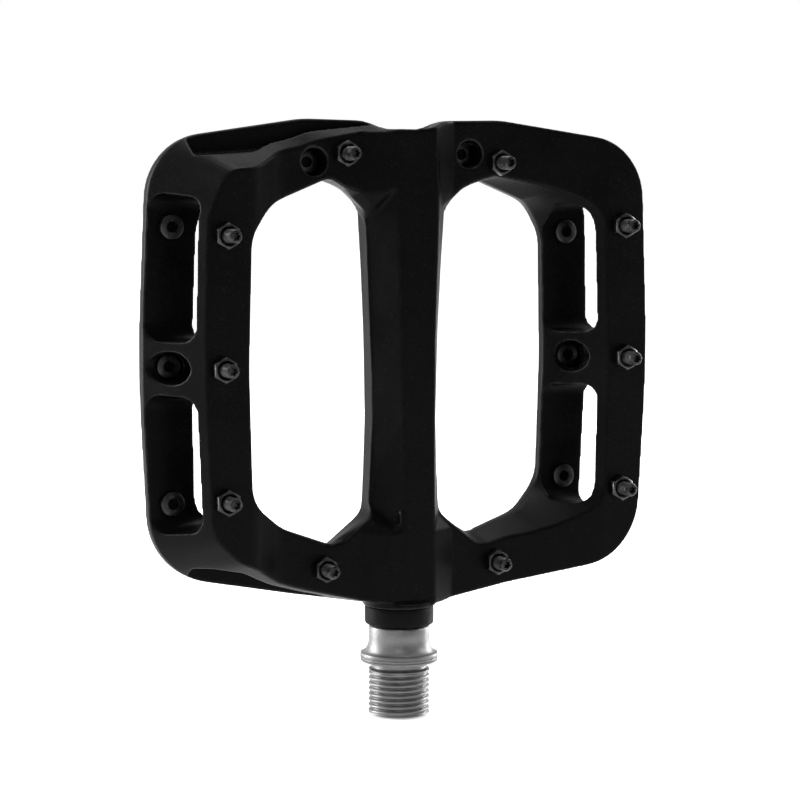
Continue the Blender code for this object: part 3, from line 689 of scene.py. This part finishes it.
# The darkest and lightest tone of the mottled materials that share a recipe
SPINDLE_TONES = (0.14, 0.138, 0.139), (0.18, 0.178, 0.178)
GROUND_TONES = (0.45, 0.45, 0.46), (0.55, 0.55, 0.56)
RUBBER_TONES = (0.0008, 0.0008, 0.0009), (0.0016, 0.0016, 0.0017)
POLYMER_TONES = (0.04, 0.04, 0.036), (0.06, 0.06, 0.055)


class Look:
    """A Principled material and short ways to wire its nodes."""

    def __init__(self, name):
        self.mat = bpy.data.materials.new(name)
        self.mat.use_nodes = True
        self.nodes = self.mat.node_tree.nodes
        self.links = self.mat.node_tree.links
        self.shader = self.nodes["Principled BSDF"]
        self.place = self.nodes.new("ShaderNodeTexCoord").outputs["Object"]

    def set(self, **values):
        """Sets the shader's own sockets; an underscore stands for a space."""
        for name, value in values.items():
            self.shader.inputs[name.replace("_", " ")].default_value = value

    def noise(self, scale, detail=3.0, stretch=None):
        """Noise in object space; scale is in features per metre."""
        node = self.nodes.new("ShaderNodeTexNoise")
        node.inputs["Scale"].default_value = scale
        node.inputs["Detail"].default_value = detail
        source = self.place
        if stretch:
            mapping = self.nodes.new("ShaderNodeMapping")
            mapping.inputs["Scale"].default_value = stretch
            self.links.new(self.place, mapping.inputs["Vector"])
            source = mapping.outputs["Vector"]
        self.links.new(source, node.inputs["Vector"])
        return node.outputs["Fac"]

    def ramp(self, source, stops):
        """A colour ramp; stops are (position, colour)."""
        node = self.nodes.new("ShaderNodeValToRGB")
        elements = node.color_ramp.elements
        while len(elements) < len(stops):
            elements.new(0.5)
        for element, (position, colour) in zip(elements, stops):
            element.position = position
            element.color = (*colour, 1.0)
        self.links.new(source, node.inputs["Fac"])
        return node.outputs["Color"]

    def range(self, source, low, high, from_low=0.0, from_high=1.0):
        """Turns from_low..from_high into low..high, and stays there beyond both ends."""
        node = self.nodes.new("ShaderNodeMapRange")
        ends = {"From Min": from_low, "From Max": from_high, "To Min": low, "To Max": high}
        for key, value in ends.items():
            node.inputs[key].default_value = value
        self.links.new(source, node.inputs["Value"])
        return node.outputs["Result"]

    def mix(self, factor, first, second):
        """A blend of two colours, each a fixed one or another node's."""
        node = self.nodes.new("ShaderNodeMix")
        node.data_type = "RGBA"
        self.links.new(factor, node.inputs[0])
        for value, slot in ((first, node.inputs[6]), (second, node.inputs[7])):
            if isinstance(value, tuple):
                slot.default_value = (*value, 1.0)
            else:
                self.links.new(value, slot)
        return node.outputs[2]

    def maths(self, operation, first, second):
        node = self.nodes.new("ShaderNodeMath")
        node.operation = operation
        for value, slot in ((first, node.inputs[0]), (second, node.inputs[1])):
            if isinstance(value, (int, float)):
                slot.default_value = value
            else:
                self.links.new(value, slot)
        return node.outputs[0]

    def attribute(self, name):
        node = self.nodes.new("ShaderNodeAttribute")
        node.attribute_name = name
        return node.outputs["Fac"]

    def bump(self, height, distance, strength=1.0, over=None):
        node = self.nodes.new("ShaderNodeBump")
        node.inputs["Distance"].default_value = distance
        node.inputs["Strength"].default_value = strength
        self.links.new(height, node.inputs["Height"])
        if over:
            self.links.new(over, node.inputs["Normal"])
        return node.outputs["Normal"]

    def to(self, name, source):
        """Links a node to one of the shader's sockets."""
        self.links.new(source, self.shader.inputs[name])


def coated_metal():
    """Satin black coating over shot-peened metal: fine orange peel, sparkle, and a painted highlight that
    lightens the sharp edges.
    """
    look = Look("satin_black_coating")
    look.set(Metallic=0.0, IOR=1.5, Specular_IOR_Level=0.048)
    cloud = look.noise(90, 4)
    grain = look.noise(2600, 3)
    base = look.ramp(cloud, [(0.3, (0.0006, 0.0005, 0.0006)), (0.7, (0.0014, 0.0012, 0.0014))])
    speckled = look.mix(look.range(grain, 0.0, 0.5, 0.60, 0.80), base, (0.020, 0.018, 0.021))
    # painted highlight: a lighter colour along sharp edges, patchy with noise, in place of the thin bright
    # highlights on the edges
    painted_edge_highlight = look.maths("MULTIPLY", look.range(look.attribute("edge"), 0.0, 1.0, 0.35, 0.95),
                      look.range(look.noise(420, 4), 0.25, 1.0, 0.35, 0.6))
    look.to("Base Color", look.mix(painted_edge_highlight, speckled, (0.035, 0.034, 0.036)))
    look.to("Roughness", look.maths("ADD", look.range(cloud, 0.33, 0.43, 0.3, 0.7),
                                    look.range(grain, -0.05, 0.07, 0.3, 0.7)))
    peel = look.bump(look.noise(1500, 2), 0.00006, 0.5)
    look.to("Normal", look.bump(grain, 0.00003, 0.5, peel))
    return look.mat


def pin_steel():
    """Dark steel, a little uneven."""
    look = Look("dark_pin_steel")
    look.set(Metallic=1.0)
    cloud = look.noise(700, 4)
    look.to("Base Color", look.ramp(cloud, [(0.3, (0.022, 0.021, 0.021)), (0.7, (0.052, 0.051, 0.050))]))
    look.to("Roughness", look.range(cloud, 0.30, 0.44, 0.3, 0.7))
    look.to("Normal", look.bump(look.noise(5000, 3), 0.00002, 0.5))
    return look.mat


def turned_steel(name, tones, roughness, metallic=1.0):
    """Bright steel with fine marks that run round the axis; tones and roughness each have two ends."""
    look = Look(name)
    look.set(Metallic=metallic)
    marks = look.noise(1.0, 3, (60, 60, 5000))
    cloud = look.noise(300, 4)
    look.to("Base Color", look.ramp(cloud, [(0.3, tones[0]), (0.7, tones[1])]))
    look.to("Roughness", look.maths("ADD", look.range(cloud, *roughness, 0.3, 0.7),
                                    look.range(marks, -0.05, 0.06, 0.3, 0.7)))
    look.to("Normal", look.bump(marks, 0.00002, 0.5))
    return look.mat


def soft_black(name, tones, roughness, grain):
    """Rubber or polymer: matte, faintly mottled; grain is in features per metre."""
    look = Look(name)
    look.set(Metallic=0.0, Specular_IOR_Level=0.07)
    cloud = look.noise(350, 4)
    look.to("Base Color", look.ramp(cloud, [(0.3, tones[0]), (0.7, tones[1])]))
    look.to("Roughness", look.range(cloud, *roughness, 0.3, 0.7))
    look.to("Normal", look.bump(look.noise(grain, 2), 0.00004, 0.5))
    return look.mat


def anodised():
    """Black anodised metal with fine turning marks."""
    look = Look("black_anodised")
    look.set(Metallic=0.8)
    cloud = look.noise(500, 4)
    rings = look.noise(1.0, 2, (60, 60, 7000))
    look.to("Base Color", look.ramp(cloud, [(0.3, (0.03, 0.03, 0.032)), (0.7, (0.05, 0.05, 0.053))]))
    look.to("Roughness", look.range(cloud, 0.30, 0.42, 0.3, 0.7))
    look.to("Normal", look.bump(rings, 0.00002, 0.4))
    return look.mat


def dress_inner_nodes(looks):
    """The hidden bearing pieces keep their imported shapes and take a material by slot."""
    slots = {entry["node"]: entry["material_slot"] for entry in frame["record"]["subparts"]}
    for name, obj in frame["nodes"].items():
        if obj.hide_render:
            continue
        obj.data.materials.clear()
        obj.data.materials.append(looks[slots[name]])


# ---------------------------------------------------------------- stage

# The camera looks this far to the right of +Y and this far down, with a slight roll.
AZIMUTH, ELEVATION, ROLL = math.radians(25.51), math.radians(5.2), math.radians(0.23)
DISTANCE = 0.590
TARGET = Vector((0.0, 0.0, 0.06117))
LENS = 114.6
FLOOR_Z = -0.01252           # just under the spindle's foot
FLOOR_HALF = 6000.0          # in millimetres, as for every mesh
DIM_SIDE, DIM_LEVEL = (0.05, -0.999, 0.0), 0.3   # the room is dimmer on this side
LIGHT_AIM = Vector((0.0, 0.0, 0.06))
# Lights: name, place, width and height, power
LIGHTS = [("left_rim", (-0.75, 0.65, 0.30), (0.3, 0.9), 19),
          ("right_rim", (0.95, 0.25, 0.25), (0.25, 0.9), 13),
          ("left_front", (-0.36, -0.77, 0.62), (0.22, 0.22), 1.2),
          ("right_front", (0.89, -0.30, 0.42), (0.22, 0.22), 1.6),
          ("top", (0.1, 0.15, 1.0), (0.5, 0.5), 6)]


def camera():
    forward = Vector((math.sin(AZIMUTH) * math.cos(ELEVATION), math.cos(AZIMUTH) * math.cos(ELEVATION),
                      -math.sin(ELEVATION)))
    data = bpy.data.cameras.new("camera")
    data.lens = LENS
    data.clip_start, data.clip_end = 0.01, 50.0
    obj = bpy.data.objects.new("camera", data)
    bpy.context.collection.objects.link(obj)
    stand = Matrix.Translation(TARGET - forward * DISTANCE)
    gaze = forward.to_track_quat("-Z", "Y").to_matrix().to_4x4()
    obj.matrix_world = stand @ gaze @ Matrix.Rotation(ROLL, 4, "Z")
    bpy.context.scene.camera = obj


def area_light(name, place, size, power):
    data = bpy.data.lights.new(name, "AREA")
    data.shape = "RECTANGLE"
    data.size, data.size_y = size
    data.energy = power
    obj = bpy.data.objects.new(name, data)
    bpy.context.collection.objects.link(obj)
    obj.location = place
    obj.rotation_euler = (LIGHT_AIM - Vector(place)).to_track_quat("-Z", "Y").to_euler()


def studio():
    """A pale floor in a white room: a strong light behind each side, two weak ones in front, one above."""
    corners = (-1, -1), (1, -1), (1, 1), (-1, 1)
    floor = make_mesh("floor", [(x * FLOOR_HALF, y * FLOOR_HALF, 0) for x, y in corners], [[0, 1, 2, 3]])
    floor.location.z = FLOOR_Z
    look = Look("pale_floor")
    look.set(Base_Color=(0.9, 0.9, 0.9, 1), Roughness=0.28)
    look.set(Emission_Color=(1, 1, 1, 1), Emission_Strength=0.4)
    floor.data.materials.append(look.mat)

    world = bpy.data.worlds.new("studio")
    bpy.context.scene.world = world
    world.use_nodes = True
    nodes, links = world.node_tree.nodes, world.node_tree.links
    towards = nodes.new("ShaderNodeVectorMath")
    towards.operation = "DOT_PRODUCT"
    towards.inputs[1].default_value = DIM_SIDE
    links.new(nodes.new("ShaderNodeTexCoord").outputs["Generated"], towards.inputs[0])
    fall = nodes.new("ShaderNodeMapRange")
    fall.interpolation_type = "SMOOTHSTEP"
    for key, value in (("From Min", 0.0), ("From Max", 0.7), ("To Min", 1.0), ("To Max", DIM_LEVEL)):
        fall.inputs[key].default_value = value
    links.new(towards.outputs["Value"], fall.inputs["Value"])
    background = nodes["Background"]
    background.inputs["Color"].default_value = (1, 1, 1, 1)
    links.new(fall.outputs["Result"], background.inputs["Strength"])

    for light in LIGHTS:
        area_light(*light)
    bpy.context.scene.view_settings.view_transform = "Standard"


def main():
    looks = {
        "body_black": coated_metal(),
        "cap_black": anodised(),
        "pin_steel": pin_steel(),
        "spindle_steel": turned_steel("bright_turned_steel", SPINDLE_TONES, (0.38, 0.46), 0.8),
        "bearing_steel": turned_steel("ground_steel", GROUND_TONES, (0.15, 0.25)),
        "seal_rubber": soft_black("black_rubber", RUBBER_TONES, (0.5, 0.65), 4000),
        "bushing_polymer": soft_black("dark_polymer", POLYMER_TONES, (0.45, 0.6), 2500),
    }
    dress(platform(), "pedal_body", "platform", looks["body_black"])
    place_pins_and_nuts(looks["pin_steel"])
    dress(spindle(), "spindle", "spindle", looks["spindle_steel"])
    dress(dust_seal(), "dust_seal", "platform", looks["seal_rubber"])
    dress(end_cap(), "end_cap", "platform", looks["cap_black"])
    dress_inner_nodes(looks)
    studio()
    camera()


main()
